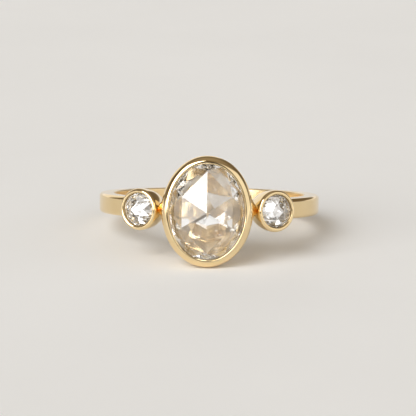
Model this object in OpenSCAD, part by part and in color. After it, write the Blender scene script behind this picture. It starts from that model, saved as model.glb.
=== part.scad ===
// Three stone ring: a slim gold band that carries an oval rose cut stone between two small round
// ones, each held by a bezel cup. The oval cup is open at the back and stands on the band, which
// crosses behind its stone. The ring lies on its side, as it rests by itself: it touches the surface
// with the lower edge of its band, at the back, and with the wall of its oval cup.

/* [Band] */
// Radius of the finger hole
finger_r = 8.65; // [7.5:0.05:10.5]
// Thickness of the band, from the finger to its outer face
band_t = 1.4; // [1.1:0.05:2.2]
// Width of the band, along the finger
band_w = 1.8; // [1.4:0.05:2.6]
// Radius that softens the edges of the outer face
band_outer_edge = 0.22; // [0.1:0.01:0.4]
// Radius that softens the edges of the finger hole
band_inner_edge = 0.15; // [0.08:0.01:0.3]

/* [Centre stone] */
// Width of the oval stone, across the finger
oval_w = 7.0; // [5.5:0.1:8]
// Length of the oval stone, along the finger
oval_l = 8.8; // [8.4:0.1:10.5]
// Thickness of the plain edge under the facets
oval_girdle_t = 0.3; // [0.2:0.05:0.6]
// Height of the facets above the plain edge
oval_crown_h = 2.4; // [1.8:0.1:3.2]
// Height of the flat back of the stone above the outer face of the band
oval_lift = 1.9; // [1.4:0.05:2.3]

/* [Side stones] */
// Diameter of each round stone
round_d = 3.1; // [2.4:0.05:3.5]
// Thickness of the plain edge under the facets
round_girdle_t = 0.25; // [0.15:0.05:0.4]
// Height of the facets above the plain edge
round_crown_h = 1.45; // [1:0.05:1.7]
// Height of the flat back of the stone above the outer face of the band
round_lift = 1.45; // [1:0.05:1.8]
// Gap between the walls of neighbouring bezels, at the rim
side_gap = 0.47; // [0.3:0.01:0.8]

/* [Centre bezel] */
// Thickness of the wall outside the stone, at the rim
oval_wall = 0.5; // [0.4:0.02:0.7]
// Distance that the lip reaches over the edge of the stone
oval_cover = 0.22; // [0.12:0.01:0.3]
// Height of the bright bevel inside the rim
oval_bevel = 0.3; // [0.15:0.01:0.45]
// Distance that the rim's highest line lies outside the edge of the stone
oval_rim_out = 0.04; // [0.02:0.01:0.1]
// Distance that the foot of the cup lies inside the edge of the stone
oval_foot_in = 0.3; // [0.2:0.02:0.5]
// Thickness of the wall at the foot
oval_foot_wall = 0.4; // [0.3:0.02:0.6]
// Width of the ledge that carries the stone
oval_ledge_w = 0.35; // [0.25:0.05:0.5]
// Depth that the foot is let into the band
oval_sink = 0.65; // [0.55:0.05:0.8]

/* [Side bezels] */
// Thickness of the wall outside the stone, at the rim
round_wall = 0.3; // [0.24:0.01:0.4]
// Distance that the lip reaches over the edge of the stone
round_cover = 0.13; // [0.08:0.01:0.2]
// Height of the bright bevel inside the rim
round_bevel = 0.24; // [0.15:0.01:0.35]
// Distance that the rim's highest line lies outside the edge of the stone
round_rim_out = 0.11; // [0.05:0.01:0.14]
// Distance that the foot of the cup lies inside the edge of the stone
round_foot_in = 0.46; // [0.2:0.02:0.6]
// Width of the ledge that carries the stone
round_ledge_w = 0.4; // [0.25:0.05:0.5]
// Depth that the foot is let into the band
round_sink = 0.95; // [0.7:0.05:1]
// Height of the hollow's floor above the outer face of the band
round_floor_rise = 0.2; // [0.1:0.05:0.4]
// Distance by which the hollow narrows towards its floor
round_taper = 0.15; // [0:0.05:0.4]

/* [Stones] */
// Clearance between each stone and the metal round it
stone_gap = 0.03; // [0.02:0.005:0.05]
// Share of the half length at which the oval's upper and lower star points lie
star_tip = 0.82; // [0.7:0.01:0.85]
// Share of the half width at which the oval's four other star points lie
star_side = 0.63; // [0.62:0.01:0.7]
// Share of the half length at which those four points lie
star_rise = 0.31; // [0.25:0.01:0.36]
// Share of the radius at which the round stones' star points lie
star_round = 0.53; // [0.45:0.01:0.65]
// Share of the crown's height at which the oval's star points lie
oval_star_level = 0.4; // [0.39:0.01:0.45]
// Share of the crown's height at which the round stones' star points lie
round_star_level = 0.62; // [0.55:0.01:0.65]
// Number of straight steps in which each of twelve stretches of a stone's edge is drawn
edge_steps = 4; // [2:1:8]

/* [Hidden] */
$fn = 96;

band_r = finger_r + band_t;

// Half width and half length of each kind of stone
oval = [oval_w, oval_l] / 2;
round = [round_d, round_d] / 2;

// The edge of a stone, seen along its axis, is drawn with four arcs that meet smoothly. The lines
// from the arcs' centres to these points have the slope of a 3-4-5 triangle.
arc_turn = atan2(3, 4);
function side_x(half) = 2 * (half[1] - half[0]);
function side_r(half) = half[0] + side_x(half);
function end_y(half) = side_x(half) * tan(arc_turn);
function end_r(half) = half[1] - end_y(half);

// The point of the edge whose outward normal has this angle
function normal_point(half, normal) =
    let (across = abs(cos(normal)), along = abs(sin(normal)))
    let (place = atan2(along, across) < arc_turn
        ? [side_r(half) * across - side_x(half), side_r(half) * along]
        : [end_r(half) * across, end_r(half) * along + end_y(half)])
    [sign(cos(normal)) * place[0], sign(sin(normal)) * place[1]];

// The point of the edge that lies like this angle's point on a circle, stretched with the stone
function edge_point(half, turn) =
    normal_point(half, atan2(half[0] * sin(turn), half[1] * cos(turn)));

// The six star points of each cut, as a list of [x, y], and the turns of the twelve points where
// the facets reach the edge, from the one that lies outside the first star point
oval_star = [
    for (at = [[1, 1], [0, 1], [-1, 1], [-1, -1], [0, -1], [1, -1]])
        at[0] == 0
            ? [0, at[1] * star_tip * oval[1]]
            : [at[0] * star_side * oval[0], at[1] * star_rise * oval[1]]
];
oval_edge_turns = [30, 65, 90, 115, 150, 180, 210, 245, 270, 295, 330, 360];
round_star = [for (k = [0:5]) star_round * edge_point(round, 60 * k)];
round_edge_turns = [for (k = [0:11]) 30 * k];

// The steepest rise of a crown at its edge, which the underside of the lip has to clear
function steepest(half, star, edge_turns, star_h) =
    max([for (k = [0:5]) star_h / norm(edge_point(half, edge_turns[2 * k]) - star[k])]);
oval_slope = steepest(oval, oval_star, oval_edge_turns, oval_star_level * oval_crown_h);
round_slope = steepest(round, round_star, round_edge_turns, round_star_level * round_crown_h);

// Heights along a stone's own axis, measured from the finger's axis
oval_back_h = band_r + oval_lift;
oval_edge_h = oval_back_h + oval_girdle_t;
oval_apex_h = oval_edge_h + oval_crown_h;
oval_lip_h = oval_edge_h + (oval_cover + stone_gap) * oval_slope;
oval_rim_h = oval_lip_h + oval_bevel;
round_back_h = band_r + round_lift;
round_edge_h = round_back_h + round_girdle_t;
round_lip_h = round_edge_h + (round_cover + stone_gap) * round_slope;
round_rim_h = round_lip_h + round_bevel;

// Each cup's wall is widest at its shoulder, from where it bellies in to the foot
oval_shoulder_h = oval_rim_h - (oval_wall - oval_rim_out);
oval_foot_h = band_r - oval_sink;
round_shoulder_h = round_rim_h - (round_wall - round_rim_out);
round_foot_h = band_r - round_sink;

// The lower end of the hollow under each stone, as [distance inside the stone's edge, height]. The
// oval cup's hollow runs out through its foot.
through = 0.2;
oval_floor = [oval_foot_in + oval_foot_wall, oval_foot_h - through];
round_floor = [round_ledge_w + round_taper, band_r + round_floor_rise];

// Radius of a belly that goes from upright over this height inwards by this width
function belly_radius(height, width) = (pow(height, 2) / width + width) / 2;
oval_belly_r = belly_radius(oval_shoulder_h - oval_foot_h, oval_wall + oval_foot_in);
round_belly_r = belly_radius(round_shoulder_h - round_foot_h, round_wall + round_foot_in);

// Angle round the finger from the centre stone to each side stone
side_wall = [round_shoulder_h, round_d / 2 + round_wall];
round_turn = asin((oval_w / 2 + oval_wall + side_gap) / norm(side_wall))
    + atan2(side_wall[1], side_wall[0]);

// The two curves that touch the surface, the belly of the oval cup and the edge of the band, in the
// ring's own frame: [distance from the finger's axis, place along the finger, radius]
front_touch = [oval_shoulder_h, oval[1] + oval_wall - oval_belly_r, oval_belly_r];
back_touch = [band_r - band_outer_edge, band_w / 2 - band_outer_edge, band_outer_edge];
touch_span = front_touch[0] + back_touch[0];
touch_drop = front_touch[1] - back_touch[1];
rest_tilt = atan2(touch_drop, touch_span)
    + asin((front_touch[2] - back_touch[2]) / norm([touch_span, touch_drop]));

// The ring's centre in the final frame, whose origin is under the middle of its bounding box
rest_up = back_touch[2] + back_touch[0] * sin(rest_tilt) + back_touch[1] * cos(rest_tilt);
reach_front = oval_apex_h * cos(rest_tilt);
reach_back = back_touch[0] * cos(rest_tilt) + back_touch[1] * sin(rest_tilt) + back_touch[2];
rest_back = (reach_front - reach_back) / 2;

// Lays the ring on the surface: inside, the finger's axis is z and the centre stone faces -y
module at_rest() {
    translate([0, rest_back, rest_up])
        rotate([-rest_tilt, 0, 0])
            children();
}

// Turns a stone's own axis, z, to point away from the finger, this far round from the centre
module facing_out(turn) {
    rotate([90, 0, turn])
        children();
}

// Revolves a section round the edge of a stone, one arc after the other. The section is drawn from
// the axis of its arc and reads the arc's radius as $arc_r.
module round_the(half) {
    if (half[0] == half[1]) {
        $arc_r = half[0];
        rotate_extrude()
            children();
    } else {
        for (side = [0, 180])
            rotate(side) {
                translate([0, end_y(half), 0])
                    sector(end_r(half), arc_turn, 180 - arc_turn)
                        children();
                translate([-side_x(half), 0, 0])
                    sector(side_r(half), -arc_turn, arc_turn)
                        children();
            }
    }
}

// Revolves a section from one angle to another
module sector(arc_r, from, to) {
    $arc_r = arc_r;
    rotate(from)
        rotate_extrude(angle = to - from)
            children();
}

// Section of a bezel cup. The wall bellies out from the foot to a round shoulder; inside are a
// hollow, a ledge for the stone, a lip over its edge and a bevel up to the rim. Widths and reaches
// inwards are measured from the stone's edge.
module cup_section(
    back_h, edge_h, lip_h, rim_h, shoulder_h, foot_h,
    wall, cover, rim_out, belly_r, foot_in, ledge_w, floor
) {
    wall_r = $arc_r + wall;
    difference() {
        translate([0, foot_h])
            square([wall_r, rim_h - foot_h]);
        difference() {
            translate([$arc_r - foot_in, 0])
                square([belly_r, shoulder_h]);
            translate([wall_r - belly_r, shoulder_h])
                circle(belly_r, $fn = 256);
        }
        edge_cut([wall_r, rim_h], [-1, -1], rim_h - shoulder_h);
        polygon([
            [0, floor[1]],
            [$arc_r - floor[0], floor[1]],
            [$arc_r - ledge_w, back_h - stone_gap],
            [$arc_r + stone_gap, back_h - stone_gap],
            [$arc_r + stone_gap, edge_h],
            [$arc_r - cover, lip_h],
            [$arc_r + rim_out, rim_h],
            [$arc_r + rim_out, 2 * rim_h],
            [0, 2 * rim_h]
        ]);
    }
}

module oval_cup() {
    facing_out(0)
        round_the(oval)
            cup_section(
                back_h = oval_back_h,
                edge_h = oval_edge_h,
                lip_h = oval_lip_h,
                rim_h = oval_rim_h,
                shoulder_h = oval_shoulder_h,
                foot_h = oval_foot_h,
                wall = oval_wall,
                cover = oval_cover,
                rim_out = oval_rim_out,
                belly_r = oval_belly_r,
                foot_in = oval_foot_in,
                ledge_w = oval_ledge_w,
                floor = oval_floor
            );
}

module round_cup(turn) {
    facing_out(turn)
        round_the(round)
            cup_section(
                back_h = round_back_h,
                edge_h = round_edge_h,
                lip_h = round_lip_h,
                rim_h = round_rim_h,
                shoulder_h = round_shoulder_h,
                foot_h = round_foot_h,
                wall = round_wall,
                cover = round_cover,
                rim_out = round_rim_out,
                belly_r = round_belly_r,
                foot_in = round_foot_in,
                ledge_w = round_ledge_w,
                floor = round_floor
            );
}

// Section of the band: a rectangle with its four edges softened
module band_section() {
    half_w = band_w / 2;
    difference() {
        translate([finger_r, -half_w])
            square([band_t, band_w]);
        for (side = [-1, 1]) {
            edge_cut([band_r, side * half_w], [-1, -side], band_outer_edge);
            edge_cut([finger_r, side * half_w], [1, -side], band_inner_edge);
        }
    }
}

// What a round edge takes off a corner; inward points from the corner into the section
module edge_cut(corner, inward, edge_r) {
    difference() {
        translate(corner)
            square(2 * edge_r, center = true);
        translate(corner + inward * edge_r)
            circle(edge_r);
    }
}

module band() {
    rotate_extrude()
        band_section();
}

// Height, over a place in the plan, of the plane through three points
function plane_h(a, b, c, place) =
    let (normal = cross(b - a, c - a))
    a[2] - (normal[0] * (place[0] - a[0]) + normal[1] * (place[1] - a[1])) / normal[2];

// A rose cut: a flat back, a plain edge and 24 flat facets. Six of them meet at the apex, six lean
// on the star's sides and twelve fill the rest, and cut the plain edge in shallow scallops.
module rose_cut(half, star, star_level, edge_turns, back_h, girdle_t, crown_h) {
    apex = [0, 0, girdle_t + crown_h];
    point = [for (p = star) [p[0], p[1], girdle_t + star_level * crown_h]];
    corner = [
        for (turn = edge_turns)
            let (p = edge_point(half, turn))
            [p[0], p[1], girdle_t]
    ];
    // The star point that a stretch of the edge between two corners belongs to
    owner = [for (k = [0:11]) floor((k + 1) / 2) % 6];
    rim = [
        for (k = [0:11])
            for (i = [0:edge_steps - 1])
                let (next = (k + 1) % 12)
                let (span = (edge_turns[next] - edge_turns[k] + 360) % 360)
                let (place = edge_point(half, edge_turns[k] + span * i / edge_steps))
                [place[0], place[1], plane_h(point[owner[k]], corner[k], corner[next], place)]
    ];
    count = len(rim);
    first_point = 1;
    first_rim = 7;
    first_foot = first_rim + count;
    translate([0, 0, back_h])
        polyhedron(
            points = concat([apex], point, rim, [for (p = rim) [p[0], p[1], 0]]),
            faces = concat(
                [for (k = [0:5]) [0, first_point + (k + 1) % 6, first_point + k]],
                [for (k = [0:5]) [
                    first_point + k,
                    first_point + (k + 1) % 6,
                    first_rim + (2 * k + 1) * edge_steps
                ]],
                [for (k = [0:11]) concat(
                    [first_point + owner[k]],
                    [for (i = [edge_steps:-1:0]) first_rim + (k * edge_steps + i) % count]
                )],
                [for (i = [0:count - 1]) [
                    first_rim + i,
                    first_rim + (i + 1) % count,
                    first_foot + (i + 1) % count,
                    first_foot + i
                ]],
                [[for (i = [0:count - 1]) first_foot + i]]
            )
        );
}

module oval_stone() {
    facing_out(0)
        rose_cut(
            half = oval,
            star = oval_star,
            star_level = oval_star_level,
            edge_turns = oval_edge_turns,
            back_h = oval_back_h,
            girdle_t = oval_girdle_t,
            crown_h = oval_crown_h
        );
}

module round_stone(turn) {
    facing_out(turn)
        rose_cut(
            half = round,
            star = round_star,
            star_level = round_star_level,
            edge_turns = round_edge_turns,
            back_h = round_back_h,
            girdle_t = round_girdle_t,
            crown_h = round_crown_h
        );
}

module setting() {
    color("#d9b072")
        at_rest() {
            band();
            oval_cup();
            round_cup(-round_turn);
            round_cup(round_turn);
        }
}

module centre_stone() {
    color("#e6dfd6")
        at_rest()
            oval_stone();
}

module left_stone() {
    color("#dcd8d6")
        at_rest()
            round_stone(-round_turn);
}

module right_stone() {
    color("#dcd8d6")
        at_rest()
            round_stone(round_turn);
}

setting();
centre_stone();
left_stone();
right_stone();
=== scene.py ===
"""The three stone ring: its gold and stones, the floor, the studio light and the camera."""

import math
from collections import namedtuple
from types import SimpleNamespace

import bpy
from mathutils import Matrix, Vector, noise


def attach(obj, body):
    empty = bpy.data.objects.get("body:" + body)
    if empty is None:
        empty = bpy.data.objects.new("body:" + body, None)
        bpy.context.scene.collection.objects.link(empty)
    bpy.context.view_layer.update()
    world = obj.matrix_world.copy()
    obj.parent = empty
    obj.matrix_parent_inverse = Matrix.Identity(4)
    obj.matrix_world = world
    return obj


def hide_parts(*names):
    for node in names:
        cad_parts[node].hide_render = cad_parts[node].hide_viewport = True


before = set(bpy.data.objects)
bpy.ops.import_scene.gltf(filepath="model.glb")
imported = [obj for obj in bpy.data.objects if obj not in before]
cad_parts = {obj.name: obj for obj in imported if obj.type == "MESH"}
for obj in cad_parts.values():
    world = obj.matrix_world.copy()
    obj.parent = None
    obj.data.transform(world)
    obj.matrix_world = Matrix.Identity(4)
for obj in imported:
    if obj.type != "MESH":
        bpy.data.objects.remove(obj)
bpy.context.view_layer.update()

MM = 0.001

# Sizes of the ring in millimetres, as in the CAD source
FINGER_R = 8.65
BAND_T = 1.4
BAND_R = FINGER_R + BAND_T
BAND_W = 1.8
BAND_OUTER_EDGE = 0.22
BAND_INNER_EDGE = 0.15
OVAL_W = 7.0
OVAL_L = 8.8
OVAL_CROWN_H = 2.4
OVAL_SINK = 0.65
ROUND_D = 3.1
ROUND_FLOOR_RISE = 0.2
STONE_GAP = 0.03
SIDE_GAP = 0.47
HOLLOW_THROUGH = 0.2

# Wear and handwork, which only the visual model has. The outer edges of the band are rounder, its
# face falls a little towards them, and all corners are softened.
WORN_EDGE = 0.34
BAND_DOME = 0.012
BAND_SOFTENED = 0.06
CUP_SOFTENED = 0.05
# The worn shoulder of a cup falls this much for each unit of its width
SHOULDER_FALL = 1.5
# Painted shade: the seam round each stone is dark gold that stands in for the shade in the gap
# between stone and rim, up to this share of the rim's height
SEAM_SHADE_SHARE = 0.8

# How finely the pieces are drawn: the steps of the arcs in their sections and round each piece, and
# the spacing and the longest straight stretch of a softened section
DOME_STEPS = 6
BAND_OUTER_STEPS = 12
BAND_INNER_STEPS = 10
BELLY_STEPS = 24
SHOULDER_STEPS = 28
LIP_STEPS = 20
BAND_ROUND = 512
OVAL_ROUND = 384
SIDE_ROUND = 224
FINE_STEP = 0.003
LONGEST_STRETCH = 0.3
# A closed cup's foot and floor are drawn this far inwards, and one flat face fills the rest
FOOT_RING = 0.25
FLOOR_RING = 0.2

# Places in a piece's list of materials
POLISHED = 0
INSIDE = 1
# The dark gold in the seam round each stone is painted shade
PAINTED_SHADE = 2


def cup_sizes(half, lift, girdle_t, crown_h, star_level, star_reach, wall, cover, bevel, rim_out,
              crest, foot_in, sink, ledge, floor):
    """A cup's heights from the finger's axis, worked out as in the CAD source. The upper star point
    of its stone lies at these shares of the crown's height and of the half length. crest is where
    the worn rim is highest, from the stone's edge outwards. floor is the lower end of the hollow,
    as [distance inside the stone's edge, height]."""
    slope = star_level * crown_h / ((1 - star_reach) * half[1])
    back_h = BAND_R + lift
    edge_h = back_h + girdle_t
    lip_h = edge_h + (cover + STONE_GAP) * slope
    rim_h = lip_h + bevel
    shoulder_h = rim_h - (wall - rim_out)
    foot_h = BAND_R - sink
    reach = wall + foot_in
    belly_r = ((shoulder_h - foot_h) ** 2 / reach + reach) / 2
    return SimpleNamespace(
        half=half, back_h=back_h, edge_h=edge_h, lip_h=lip_h, rim_h=rim_h, shoulder_h=shoulder_h,
        foot_h=foot_h, belly_r=belly_r, wall=wall, cover=cover, crest=crest, foot_in=foot_in,
        ledge=ledge, floor=floor,
    )


OVAL_CUP = cup_sizes(
    half=(OVAL_W / 2, OVAL_L / 2), lift=1.9, girdle_t=0.3, crown_h=OVAL_CROWN_H, star_level=0.4,
    star_reach=0.82, wall=0.5, cover=0.22, bevel=0.3, rim_out=0.04, crest=-0.08, foot_in=0.3,
    sink=OVAL_SINK, ledge=0.35, floor=(0.7, BAND_R - OVAL_SINK - HOLLOW_THROUGH),
)
ROUND_CUP = cup_sizes(
    half=(ROUND_D / 2, ROUND_D / 2), lift=1.45, girdle_t=0.25, crown_h=1.45, star_level=0.62,
    star_reach=0.53, wall=0.3, cover=0.13, bevel=0.24, rim_out=0.11, crest=0.07, foot_in=0.46,
    sink=0.95, ledge=0.4, floor=(0.55, BAND_R + ROUND_FLOOR_RISE),
)


def side_turn():
    """The turn round the finger from the centre stone to each side stone."""
    wall_out = ROUND_CUP.half[0] + ROUND_CUP.wall
    away = OVAL_CUP.half[0] + OVAL_CUP.wall + SIDE_GAP
    wall_turn = math.atan2(wall_out, ROUND_CUP.shoulder_h)
    return math.asin(away / math.hypot(ROUND_CUP.shoulder_h, wall_out)) + wall_turn


def rest_tilt():
    """How far the finger's axis leans back: the ring lies on the edge of its band, at the back, and
    on the belly of its oval cup."""
    span = OVAL_CUP.shoulder_h + BAND_R - BAND_OUTER_EDGE
    belly_out = OVAL_CUP.half[1] + OVAL_CUP.wall - OVAL_CUP.belly_r
    drop = belly_out - (BAND_W / 2 - BAND_OUTER_EDGE)
    touch = (OVAL_CUP.belly_r - BAND_OUTER_EDGE) / math.hypot(span, drop)
    return math.atan2(drop, span) + math.asin(touch)


def ring_centre(tilt):
    """Where the ring's centre lies, seen from the frame's origin."""
    apex_h = OVAL_CUP.edge_h + OVAL_CROWN_H
    lean = Vector((math.cos(tilt), math.sin(tilt)))
    edge = Vector((BAND_R - BAND_OUTER_EDGE, BAND_W / 2 - BAND_OUTER_EDGE))
    y = (apex_h * lean.x - edge.dot(lean) - BAND_OUTER_EDGE) / 2
    z = BAND_OUTER_EDGE + edge.x * lean.y + edge.y * lean.x
    return Vector((0, y, z))


SIDE_TURN = side_turn()
REST_TILT = rest_tilt()
RING_CENTRE = ring_centre(REST_TILT)
REST = Matrix.Translation(RING_CENTRE) @ Matrix.Rotation(-REST_TILT, 4, "X")


def arc(centre, wide, tall, start, end, steps):
    """Points of an arc with these two radii, with its angles in degrees."""
    angles = [math.radians(start + (end - start) * i / steps) for i in range(steps + 1)]
    return [(centre[0] + wide * math.cos(a), centre[1] + tall * math.sin(a)) for a in angles]


def finely(points):
    """The path through these points, with a point at each fine step."""
    fine = []
    for a, b in zip(points, points[1:]):
        count = max(1, round((b - a).length / FINE_STEP))
        fine += [a.lerp(b, i / count) for i in range(count)]
    return fine


def softened(path, width, closed, bend_limit=5.0):
    """The path with its corners rounded over this width. A point is kept wherever it has bent by
    this many degrees or has run straight for the longest stretch."""
    points = [Vector(p) for p in path]
    if closed:
        points.append(points[0])
    fine = finely(points)
    if not closed:
        fine.append(points[-1])
    reach = max(1, round(width / FINE_STEP / 2))
    smooth = []
    for i in range(len(fine)):
        near = reach if closed else min(reach, i, len(fine) - 1 - i)
        window = [fine[(i + k) % len(fine)] for k in range(-near, near + 1)]
        smooth.append(sum(window, Vector((0, 0))) / len(window))
    kept = [smooth[0]]
    bend = run = 0.0
    for a, b, c in zip(smooth, smooth[1:], smooth[2:]):
        bend += math.degrees(abs((b - a).angle_signed(c - b, 0.0)))
        run += (b - a).length
        if bend >= bend_limit or run >= LONGEST_STRETCH:
            kept.append(b)
            bend = run = 0.0
    if not closed:
        kept.append(smooth[-1])
    return kept


def worked(point, normal, amount, scale, seed):
    """A point of a surface that was filed and polished by hand, so that it is not quite even."""
    place = Vector((seed, 2 * seed, 3 * seed)) + point / scale
    return point + normal * amount * noise.noise(place)


def walls(rings, points, closed):
    """The faces between rings of points that go once round, and each face's place on its ring."""
    faces = []
    places = []
    for s in range(rings):
        here = s * points
        there = (s + 1) % rings * points
        for k in range(points if closed else points - 1):
            after = (k + 1) % points
            faces.append((here + k, there + k, there + after, here + after))
            places.append(k)
    return faces, places


def mesh_object(name, verts, faces, looks, materials):
    """A piece from its corners in millimetres. looks gives each face's place in the materials."""
    mesh = bpy.data.meshes.new(name)
    mesh.from_pydata([REST @ v for v in verts], [], faces)
    mesh.transform(Matrix.Scale(MM, 4))
    mesh.update()
    mesh.shade_smooth()
    for material in materials:
        mesh.materials.append(material)
    mesh.polygons.foreach_set("material_index", looks)
    piece = bpy.data.objects.new(name, mesh)
    bpy.context.scene.collection.objects.link(piece)
    return piece


def band_section():
    """The band's section, as [distance from the finger's axis, height along the axis]."""
    outer_r, inner_r = WORN_EDGE, BAND_INNER_EDGE
    outer, inner = BAND_R - outer_r, FINGER_R + inner_r
    outer_h, inner_h = BAND_W / 2 - outer_r, BAND_W / 2 - inner_r
    shares = [k / DOME_STEPS for k in range(1 - DOME_STEPS, DOME_STEPS)]
    section = (
        [(BAND_R - BAND_DOME * share ** 2, outer_h * share) for share in shares]
        + arc((outer, outer_h), outer_r, outer_r, 0, 90, BAND_OUTER_STEPS)
        + arc((inner, inner_h), inner_r, inner_r, 90, 180, BAND_INNER_STEPS)
        + arc((inner, -inner_h), inner_r, inner_r, 180, 270, BAND_INNER_STEPS)
        + arc((outer, -outer_h), outer_r, outer_r, 270, 360, BAND_OUTER_STEPS)
    )
    return softened(section, BAND_SOFTENED, closed=True, bend_limit=6.0)


def band(outside, inside):
    """The shank: its section is turned round the finger's axis."""
    section = band_section()
    verts = []
    for s in range(BAND_ROUND):
        a = 2 * math.pi * s / BAND_ROUND
        out = Vector((math.sin(a), -math.cos(a), 0))
        for p in section:
            point = out * p[0] + Vector((0, 0, p[1]))
            verts.append(worked(point, out, amount=0.006, scale=1.6, seed=5.0))
    faces, places = walls(BAND_ROUND, len(section), closed=True)
    inside_r = FINGER_R + BAND_INNER_EDGE / 2
    looks = [INSIDE if section[k][0] < inside_r else POLISHED for k in places]
    return mesh_object("band", verts, faces, looks, (outside, inside))


def belly(foot, top, lean):
    """An arc from the foot up to the top, which it reaches at this lean from upright."""
    chord = Vector(top) - Vector(foot)
    normal = Vector((math.cos(lean), -math.sin(lean)))
    radius = chord.length_squared / (2 * chord.dot(normal))
    centre = Vector(top) - normal * radius
    foot_turn = math.degrees(math.atan2(foot[1] - centre.y, foot[0] - centre.x))
    return arc(centre, radius, radius, foot_turn, -math.degrees(lean), BELLY_STEPS)


def cup_section(c, is_open, lean):
    """A cup's section, from its foot up the outside and over the rim down into its hollow, as
    [distance outside the stone's edge, height]. lean is how far the belly leans where it meets the
    shoulder."""
    shoulder_w = c.wall - c.crest
    shoulder_t = SHOULDER_FALL * shoulder_w
    shoulder_turn = -math.degrees(math.atan(SHOULDER_FALL * math.tan(lean)))
    shoulder_centre = (c.crest, c.rim_h - shoulder_t)
    shoulder = arc(shoulder_centre, shoulder_w, shoulder_t, shoulder_turn, 90, SHOULDER_STEPS)
    lip = arc((c.crest, c.lip_h), c.crest + c.cover, c.rim_h - c.lip_h, 90, 180, LIP_STEPS)
    ledge_h = c.back_h - STONE_GAP
    seat = [(STONE_GAP, c.edge_h), (STONE_GAP, ledge_h), (-c.ledge, ledge_h)]
    section = belly((-c.foot_in, c.foot_h), shoulder[0], lean) + shoulder + lip + seat
    floor_in, floor_h = c.floor
    if is_open:
        slope = (floor_in - c.ledge) / (ledge_h - floor_h)
        section.append((-floor_in + slope * (c.foot_h - floor_h), c.foot_h))
    else:
        section.insert(0, (-c.foot_in - FOOT_RING, c.foot_h))
        section += [(-floor_in, floor_h), (-floor_in - FLOOR_RING, floor_h)]
    return softened(section, CUP_SOFTENED, closed=is_open)


def cup_looks(section, c):
    """The look of each stretch of a cup's section. The seam just above the stone gets dark gold, as
    painted shade of the gap there.
    """
    heights = [p[1] for p in section]
    rim = heights.index(max(heights))
    shade_low = c.lip_h + STONE_GAP
    shade_top = c.lip_h + SEAM_SHADE_SHARE * (c.rim_h - c.lip_h)
    looks = []
    for k, height in enumerate(heights):
        if k <= rim or height > shade_top:
            looks.append(POLISHED)
        elif height > shade_low:
            # Painted shade: dark gold in the seam just above the stone
            looks.append(PAINTED_SHADE)
        else:
            looks.append(INSIDE)
    return looks


def cup(name, c, materials, turn, steps, seed, lean):
    """A bezel cup of sizes c, with its section led round the edge of its stone."""
    is_open = c.floor[1] < c.foot_h
    section = cup_section(c, is_open, lean)
    facing = Matrix.Rotation(turn, 4, "Z") @ Matrix.Rotation(math.pi / 2, 4, "X")
    half_w, half_l = c.half
    verts = []
    for s in range(steps):
        a = 2 * math.pi * s / steps
        edge = Vector((half_w * math.cos(a), half_l * math.sin(a), 0))
        out = Vector((half_l * math.cos(a), half_w * math.sin(a), 0)).normalized()
        for p in section:
            point = edge + out * p[0] + Vector((0, 0, p[1]))
            verts.append(facing @ worked(point, out, amount=0.012, scale=1.3, seed=seed))
    n = len(section)
    faces, places = walls(steps, n, closed=is_open)
    section_looks = cup_looks(section, c)
    looks = [section_looks[k] for k in places]
    if not is_open:
        faces.append([s * n for s in reversed(range(steps))])
        faces.append([s * n + n - 1 for s in range(steps)])
        looks += [POLISHED, INSIDE]
    return mesh_object(name, verts, faces, looks, materials)


# The colour sockets of a Mix node share their names with its other sockets, so they go by number
MIX_A = 6
MIX_B = 7
MIX_RESULT = 2


class Nodes:
    """Short calls for building the node tree of a material or of the world."""

    def __init__(self, name, world=False):
        self.owner = bpy.data.worlds.new(name) if world else bpy.data.materials.new(name)
        self.owner.use_nodes = True
        self.tree = self.owner.node_tree
        self.tree.nodes.clear()

    def add(self, kind, inputs=None, **settings):
        node = self.tree.nodes.new(kind)
        for key, value in settings.items():
            setattr(node, key, value)
        for key, value in (inputs or {}).items():
            self.put(node.inputs[key], value)
        return node

    def put(self, socket, value):
        if isinstance(value, bpy.types.NodeSocket):
            self.tree.links.new(value, socket)
        else:
            socket.default_value = value

    def math(self, operation, *values):
        node = self.add("ShaderNodeMath", operation=operation)
        for socket, value in zip(node.inputs, values):
            self.put(socket, value)
        return node.outputs[0]

    def dot(self, a, b):
        node = self.add("ShaderNodeVectorMath", operation="DOT_PRODUCT")
        self.put(node.inputs[0], a)
        self.put(node.inputs[1], b)
        return node.outputs["Value"]

    def noise(self, vector, scale, detail=2.0, roughness=0.5):
        return self.add(
            "ShaderNodeTexNoise",
            {"Vector": vector, "Scale": scale, "Detail": detail, "Roughness": roughness},
        ).outputs["Fac"]

    def ramp(self, factor, stops):
        """A colour for each value of the factor, from stops of [value, colour]."""
        node = self.add("ShaderNodeValToRGB", {"Fac": factor})
        marks = node.color_ramp.elements
        while len(marks) < len(stops):
            marks.new(0.5)
        for mark, (place, colour) in zip(marks, stops):
            mark.position = place
            mark.color = (*colour, 1)
        return node.outputs["Color"]

    def mixed(self, factor, a, b):
        """Colour b where the factor is 1, and a where it is 0."""
        node = self.add("ShaderNodeMix", {"Factor": factor}, data_type="RGBA")
        self.put(node.inputs[MIX_A], a)
        self.put(node.inputs[MIX_B], (*b, 1))
        return node.outputs[MIX_RESULT]

    def spread(self, value, old, new, smooth=False):
        """The value, moved from the old range to the new one."""
        ends = {"From Min": old[0], "From Max": old[1], "To Min": new[0], "To Max": new[1]}
        return self.add(
            "ShaderNodeMapRange",
            {"Value": value, **ends},
            interpolation_type="SMOOTHSTEP" if smooth else "LINEAR",
        ).outputs["Result"]

    def place(self):
        """The place on the object, in metres."""
        return self.add("ShaderNodeTexCoord").outputs["Object"]

    def surface(self, inputs):
        """The finished material, with a principled surface that has these inputs."""
        shader = self.add("ShaderNodeBsdfPrincipled", inputs)
        self.add("ShaderNodeOutputMaterial", {"Surface": shader.outputs[0]})
        return self.owner


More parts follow.
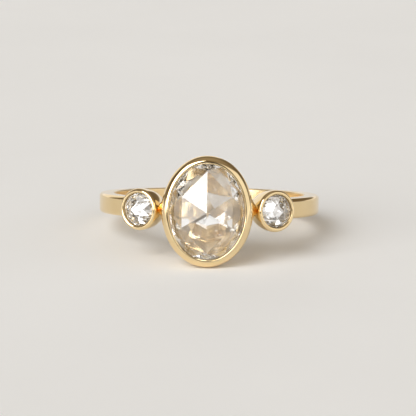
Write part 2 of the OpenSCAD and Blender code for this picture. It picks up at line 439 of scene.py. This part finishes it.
# The darker and the paler tone of each gold: the inside of the cups is pale, and the seams are dark
# gold as painted shade of the gap round each stone
YELLOW = ((0.89, 0.69, 0.385), (0.94, 0.745, 0.445))
PALE = ((0.90, 0.84, 0.73), (0.95, 0.90, 0.81))
SEAM_SHADE_TONES = ((0.38, 0.26, 0.12), (0.50, 0.35, 0.17))
# The paler and the deeper tone of the stones and of the floor
CENTRE_TONES = ((1.0, 1.0, 1.0), (0.985, 0.975, 0.96))
SIDE_TONES = ((0.99, 0.985, 0.985), (0.96, 0.955, 0.96))
FLOOR_TONES = ((0.905, 0.9, 0.89), (0.935, 0.93, 0.92))
DIAMOND_IOR = 2.417
# How strongly the fine grain of the gold stands out beside its scratches
GRAIN_SHARE = 0.6


def gold_material(name, tones, shine, scratch):
    """Gold with faint wear: fine scratches, soft smears and a slight change of tone. shine is the
    lowest and the highest roughness."""
    m = Nodes(name)
    place = m.place()
    tone = m.noise(place, scale=420.0, detail=3.0)
    colour = m.ramp(tone, [(0.3, tones[0]), (0.7, tones[1])])
    smear = m.noise(place, scale=900.0, detail=4.0, roughness=0.6)
    rough = m.spread(smear, (0.3, 0.75), shine)
    stretch = {"Vector": place, "Rotation": (0.4, 0.2, 0.7), "Scale": (1, 9, 30)}
    stretched = m.add("ShaderNodeMapping", stretch).outputs["Vector"]
    lines = m.noise(stretched, scale=2600.0, detail=2.0)
    grain = m.noise(place, scale=5200.0, detail=3.0)
    height = m.math("ADD", lines, m.math("MULTIPLY", grain, GRAIN_SHARE))
    relief = {"Height": height, "Strength": scratch, "Distance": 0.00002}
    bump = m.add("ShaderNodeBump", relief).outputs["Normal"]
    return m.surface({"Base Color": colour, "Metallic": 1.0, "Roughness": rough, "Normal": bump})


def stone_material(name, tones):
    """Clear, faintly warm stone. A few soft veils and the polish vary a little over it."""
    m = Nodes(name)
    place = m.place()
    veil = m.noise(place, scale=700.0, detail=3.0)
    colour = m.ramp(veil, [(0.3, tones[0]), (0.75, tones[1])])
    polish = m.noise(place, scale=1500.0, detail=2.0)
    rough = m.spread(polish, (0.3, 0.8), (0.0, 0.012))
    clear = {"IOR": DIAMOND_IOR, "Transmission Weight": 1.0}
    return m.surface({"Base Color": colour, "Roughness": rough, **clear})


def floor_material():
    """Pale honed surface with a barely visible cloudiness."""
    m = Nodes("pale_floor")
    place = m.place()
    cloud = m.noise(place, scale=22.0, detail=4.0)
    colour = m.ramp(cloud, [(0.3, FLOOR_TONES[0]), (0.7, FLOOR_TONES[1])])
    rough = m.spread(m.noise(place, scale=300.0), (0.3, 0.7), (0.55, 0.65))
    return m.surface({"Base Color": colour, "Roughness": rough, "Specular IOR Level": 0.15})


# The floor's radius in metres, and the degrees between the corners of its edge
FLOOR_R = 1.5
FLOOR_CORNER = 5


def floor_disc():
    """One flat round face that reaches far past the picture's edges."""
    mesh = bpy.data.meshes.new("floor")
    turns = [math.radians(a) for a in range(0, 360, FLOOR_CORNER)]
    rim = [(FLOOR_R * math.cos(a), FLOOR_R * math.sin(a), 0) for a in turns]
    mesh.from_pydata(rim, [], [list(range(len(rim)))])
    mesh.materials.append(floor_material())
    disc = bpy.data.objects.new("floor", mesh)
    bpy.context.scene.collection.objects.link(disc)
    return disc


# The room's colour by the sine of the height: dim walls, and a somewhat paler ceiling
ROOM = [
    (0.0, (0.26, 0.215, 0.165)),
    (0.3, (0.16, 0.125, 0.085)),
    (0.6, (0.15, 0.115, 0.075)),
    (1.0, (0.34, 0.29, 0.22)),
]
# Soft rectangles round the ring, which are bright apart from the photographer. The place of their
# middle is given as degrees to the right of the photographer and degrees up. Then come half their
# width and half their height in degrees, the softness of their edge, their brightness and tint.
Box = namedtuple("Box", "right up half_w half_h soft level tint")
BACKDROP = Box(200, 15, 30, 17, 0.12, 0.95, (1.0, 0.985, 0.965))
WALL_LOW = Box(56, -2, 40, 19, 0.12, 1.25, (1.0, 0.995, 0.985))
WALL_HIGH = Box(57, 26, 42, 22, 0.12, 1.0, (1.0, 0.985, 0.965))
WALL_BACK = Box(150, -2, 27, 9, 0.2, 0.9, (1.0, 0.99, 0.98))
PHOTOGRAPHER = Box(0.75, 18, 11, 16, 0.25, 1.0, (0.03, 0.022, 0.015))
LOW_CARD = Box(-66, 0, 16, 9, 0.3, 2.0, (0.98, 0.99, 1.0))
WINDOW = Box(-37, 32, 21, 25, 0.06, 5.1, (0.965, 0.985, 1.0))
# Where boxes overlap, the later one is seen
BOXES = [BACKDROP, WALL_LOW, WALL_HIGH, WALL_BACK, PHOTOGRAPHER, LOW_CARD, WINDOW]
# A box is seen only along a way that goes forwards, towards its middle, by more than this
LEAST_AHEAD = 0.001


def direction(right, up):
    """The way towards this many degrees to the right of the photographer and degrees up."""
    a, e = math.radians(right), math.radians(up)
    return Vector((math.sin(a) * math.cos(e), -math.cos(a) * math.cos(e), math.sin(e)))


def inside_box(w, way, box):
    """1 where this way goes to the inside of the box, and 0 elsewhere."""
    middle = direction(box.right, box.up)
    turn = math.radians(box.right)
    across = Vector((math.cos(turn), math.sin(turn), 0))
    over = middle.cross(across) * -1
    ahead = w.dot(way, middle[:])
    near = w.math("MAXIMUM", ahead, LEAST_AHEAD)
    inside = w.math("GREATER_THAN", ahead, LEAST_AHEAD)
    for axis, half in ((across, box.half_w), (over, box.half_h)):
        off = w.math("ABSOLUTE", w.math("DIVIDE", w.dot(way, axis[:]), near))
        edge = math.tan(math.radians(half))
        fade = (edge * (1 - box.soft), edge * (1 + box.soft))
        inside = w.math("MULTIPLY", inside, w.spread(off, fade, (1, 0), smooth=True))
    return inside


def studio():
    """A dim room with large soft boxes, as a colour for each direction."""
    w = Nodes("studio", world=True)
    way = w.add("ShaderNodeTexCoord").outputs["Generated"]
    light = w.ramp(w.dot(way, (0, 0, 1)), ROOM)
    for box in BOXES:
        light = w.mixed(inside_box(w, way, box), light, [box.level * c for c in box.tint])
    back = w.add("ShaderNodeBackground", {"Color": light, "Strength": 1.0})
    w.add("ShaderNodeOutputWorld", {"Surface": back.outputs[0]})
    return w.owner


# The camera has a long lens and stands almost in line with the centre stone's axis, DISTANCE
# millimetres from the ring's centre: SIDE degrees to the right of that axis and RISE degrees above
# it, and turned by ROLL degrees. FOCAL_PX is its focal length in pixels of the photo, which is
# FRAME_PX wide. AIM_PX is how many pixels it points to the left of the ring's centre and below it.
DISTANCE = 250.0
SIDE = 0.75
RISE = 3.6
ROLL = 0.75
FOCAL_PX = 2725.0
FRAME_PX = 416
AIM_PX = (1.1, 5.1)
SENSOR_W = 36.0
CLIP_START = 0.01
CLIP_END = 10.0


def photo_camera():
    """The camera that sees the ring as in the photo."""
    turn = REST.to_3x3()
    look = -direction(SIDE, RISE)
    right = look.cross(Vector((0, 0, 1))).normalized()
    up = right.cross(look)
    eye = turn @ look * -DISTANCE + RING_CENTRE
    roll = math.radians(ROLL)
    rolled_right = turn @ (math.cos(roll) * right + math.sin(roll) * up)
    rolled_up = turn @ (math.cos(roll) * up - math.sin(roll) * right)
    left, down = (px / FOCAL_PX for px in AIM_PX)
    look = (turn @ look - rolled_right * left - rolled_up * down).normalized()
    right = look.cross(rolled_up).normalized()
    up = right.cross(look)
    lens = bpy.data.cameras.new("camera")
    lens.sensor_width = SENSOR_W
    lens.lens = FOCAL_PX / FRAME_PX * SENSOR_W
    lens.clip_start = CLIP_START
    lens.clip_end = CLIP_END
    camera = bpy.data.objects.new("camera", lens)
    facing = Matrix((right, up, -look)).transposed().to_4x4()
    camera.matrix_world = Matrix.Translation(eye * MM) @ facing
    bpy.context.scene.collection.objects.link(camera)
    return camera


gold = gold_material("polished_gold", YELLOW, shine=(0.03, 0.08), scratch=0.05)
satin = gold_material("satin_gold", YELLOW, shine=(0.28, 0.38), scratch=0.3)
seat = gold_material("seat_gold", PALE, shine=(0.1, 0.18), scratch=0.2)
# Dark gold for the seam round each stone: painted shade of the gap there
shade_gold = gold_material("seam_shade_gold", SEAM_SHADE_TONES, shine=(0.35, 0.45), scratch=0.3)
golds = (gold, seat, shade_gold)
pieces = [
    band(gold, satin),
    cup("centre_bezel", OVAL_CUP, golds, turn=0, steps=OVAL_ROUND, seed=1.0, lean=REST_TILT),
    cup("left_bezel", ROUND_CUP, golds, turn=-SIDE_TURN, steps=SIDE_ROUND, seed=2.0, lean=0),
    cup("right_bezel", ROUND_CUP, golds, turn=SIDE_TURN, steps=SIDE_ROUND, seed=3.0, lean=0),
]
for piece in pieces:
    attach(piece, "root")
    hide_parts("setting")

centre_look = stone_material("centre_stone_clear", CENTRE_TONES)
side_look = stone_material("side_stone_clear", SIDE_TONES)
stone_looks = {"centre_stone": centre_look, "left_stone": side_look, "right_stone": side_look}
for node, look in stone_looks.items():
    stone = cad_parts[node]
    stone.data.materials.clear()
    stone.data.materials.append(look)

floor = floor_disc()
bpy.context.scene.world = studio()
bpy.context.scene.camera = photo_camera()
bpy.context.scene.view_settings.view_transform = "Standard"

# Light goes round inside the cut stones many times before it leaves them
cycles = bpy.context.scene.cycles
cycles.max_bounces = 32
cycles.glossy_bounces = 24
cycles.transmission_bounces = 24
